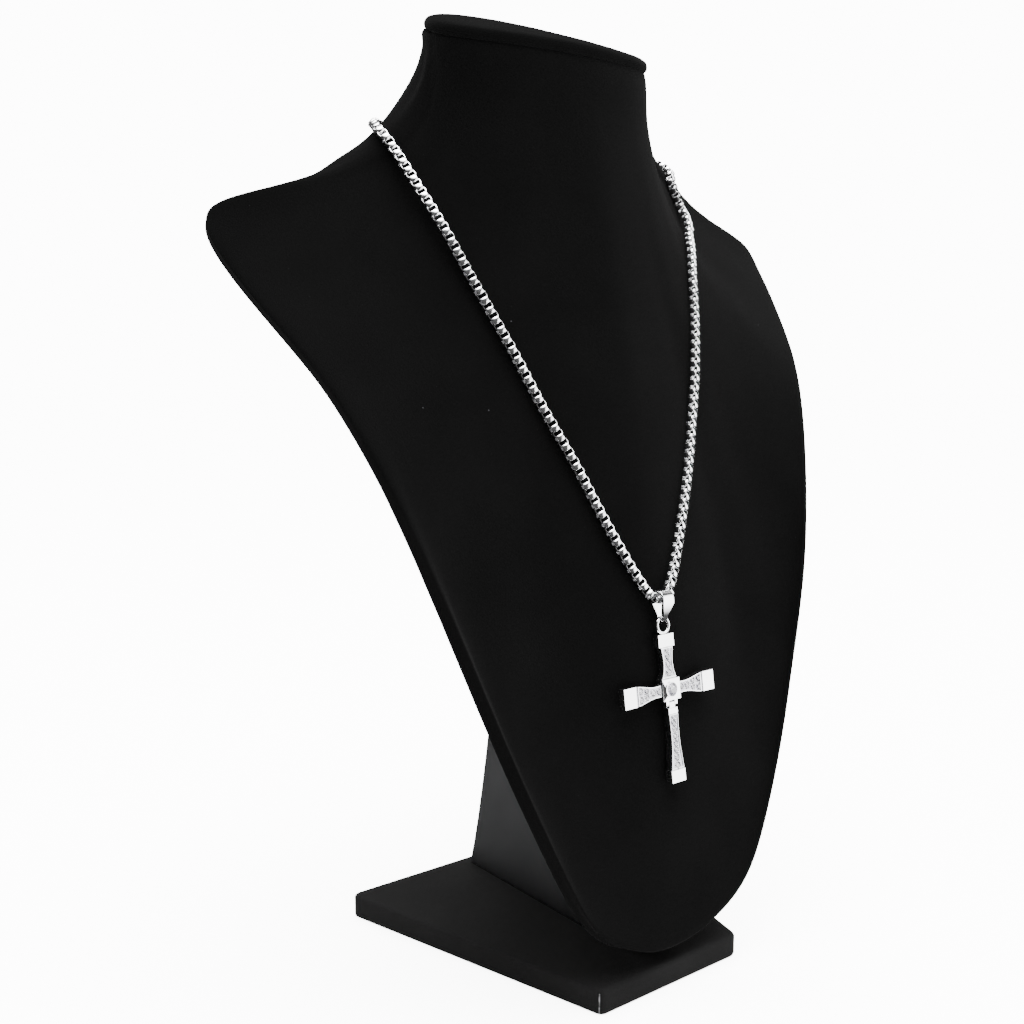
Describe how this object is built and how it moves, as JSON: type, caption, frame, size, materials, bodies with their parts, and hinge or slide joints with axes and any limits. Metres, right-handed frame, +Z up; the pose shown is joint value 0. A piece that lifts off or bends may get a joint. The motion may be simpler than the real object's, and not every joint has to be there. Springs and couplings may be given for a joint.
{
  "type": "cross necklace on a neck bust",
  "caption": "Silver box-chain necklace with a stone-set cross pendant, its lower arm hinged, on a black velvet neck bust with a capped neck, back post and flat base.",
  "frame": {"origin": "on the ground, under the middle of the base's depth and width", "axes": "+Z up; the chest and the cross face -Y; +X to the viewer's right when facing the chest"},
  "size_m": [0.2384, 0.1117, 0.3213],
  "materials": {
    "black_velvet": "short black velvet, glued over the form",
    "grey_board": "smooth satin dark grey covering",
    "polished_steel": "bright polished silver-coloured metal",
    "clear_stone": "clear faceted glass or zirconia"
  },
  "bodies": {
    "stand": {"base": "black_velvet", "post": "grey_board", "bust_shell": "black_velvet", "neck_cap": "black_velvet", "chain": "polished_steel", "clasp": "polished_steel"},
    "bail": {"bail": "polished_steel"},
    "cross": {"cross_body": "polished_steel", "hinge_pin": "polished_steel", "stone_centre": "clear_stone", "stone_left_1": "clear_stone", "stone_left_2": "clear_stone", "stone_left_3a": "clear_stone", "stone_left_3b": "clear_stone", "stone_left_4a": "clear_stone", "stone_left_4b": "clear_stone", "stone_right_1": "clear_stone", "stone_right_2": "clear_stone", "stone_right_3a": "clear_stone", "stone_right_3b": "clear_stone", "stone_right_4a": "clear_stone", "stone_right_4b": "clear_stone", "stone_up_1": "clear_stone", "stone_up_2": "clear_stone", "stone_up_3": "clear_stone", "stone_up_4": "clear_stone"},
    "lower_arm": {"lower_arm": "polished_steel", "stone_low_1": "clear_stone", "stone_low_2": "clear_stone", "stone_low_3": "clear_stone", "stone_low_4": "clear_stone", "stone_low_5": "clear_stone", "stone_low_6": "clear_stone", "stone_low_7": "clear_stone", "stone_low_8": "clear_stone"}
  },
  "joints": [
    {"name": "bail_swing", "type": "hinge", "parent": "stand", "child": "bail", "pos_m": [0, -0.046, 0.1278], "axis": [-1, 0, 0], "range_deg": [0, 80]},
    {"name": "cross_swing", "type": "hinge", "parent": "bail", "child": "cross", "pos_m": [0, -0.046, 0.1218], "axis": [-1, 0, 0], "range_deg": [0, 50]},
    {"name": "lower_arm_swing", "type": "hinge", "parent": "cross", "child": "lower_arm", "pos_m": [0, -0.05008, 0.0945], "axis": [-1, 0, 0], "range_deg": [0, 70]}
  ]
}
